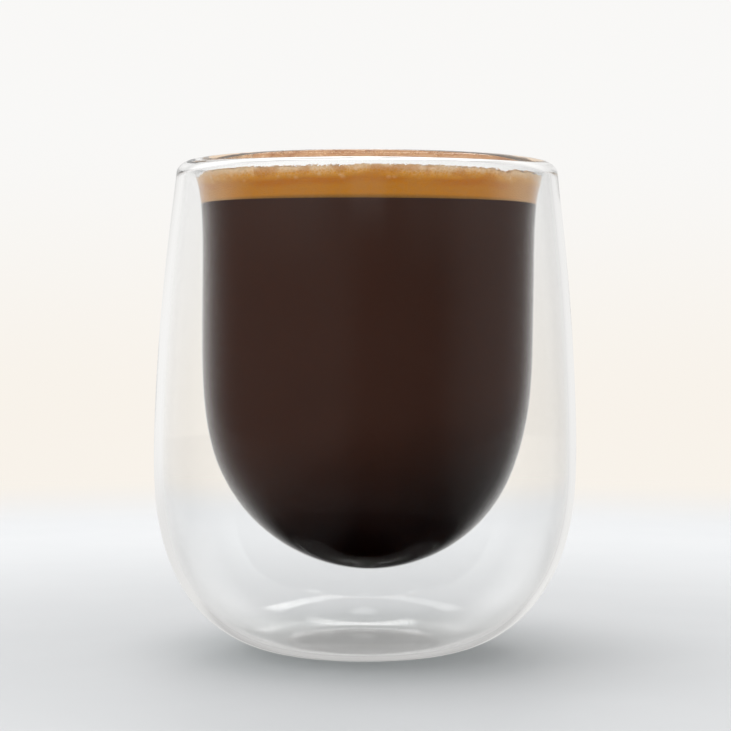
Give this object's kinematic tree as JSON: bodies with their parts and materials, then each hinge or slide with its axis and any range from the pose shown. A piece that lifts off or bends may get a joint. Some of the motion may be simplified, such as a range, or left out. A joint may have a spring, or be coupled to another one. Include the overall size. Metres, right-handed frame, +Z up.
{
  "type": "double espresso in a double-walled glass",
  "caption": "Double espresso under a hazelnut crema in a clear double-walled glass with a full belly, a rounded rim and a small flat foot.",
  "frame": {"origin": "middle of the glass's flat foot, on the surface it stands on", "axes": "+Z up along the glass's axis; the glass is round, so X and Y have no front"},
  "size_m": [0.061, 0.061, 0.07],
  "materials": {
    "glass": "clear blown borosilicate glass, fire-polished",
    "coffee": "liquid, almost black brown",
    "crema": "fine moist foam, hazelnut to caramel"
  },
  "bodies": {
    "root": {"glass": "glass", "espresso": "coffee", "crema": "crema"}
  },
  "joints": []
}
